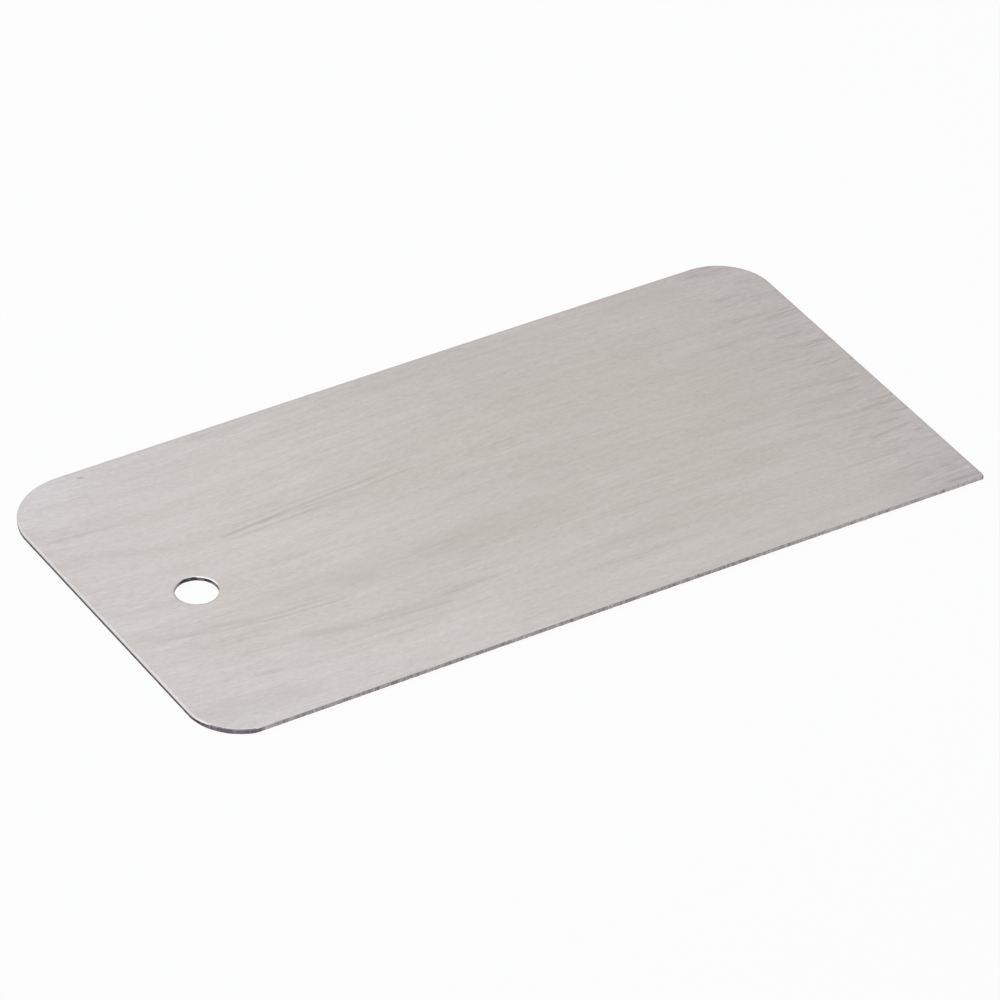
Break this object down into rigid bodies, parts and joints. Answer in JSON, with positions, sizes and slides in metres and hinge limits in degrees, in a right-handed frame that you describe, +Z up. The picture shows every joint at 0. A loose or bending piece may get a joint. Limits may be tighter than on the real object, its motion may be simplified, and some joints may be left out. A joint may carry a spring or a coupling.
{
  "type": "card scraper",
  "caption": "Thin flat card scraper of brushed sheet steel with rounded corners, a square working corner and a hanging hole, pushed or pulled by hand to shave a surface.",
  "frame": {"origin": "middle of the blade's lower face, so the blade lies flat on the plane Z = 0", "axes": "+X along the length, away from the hanging hole; +Y across the width, away from the square corner's edge; +Z up, out of the upper face"},
  "size_m": [0.125, 0.065, 0.0007],
  "materials": {
    "steel": "brushed along the length, with plain sheared and ground edges"
  },
  "bodies": {
    "root": {"scraper_blade": "steel"}
  },
  "joints": []
}
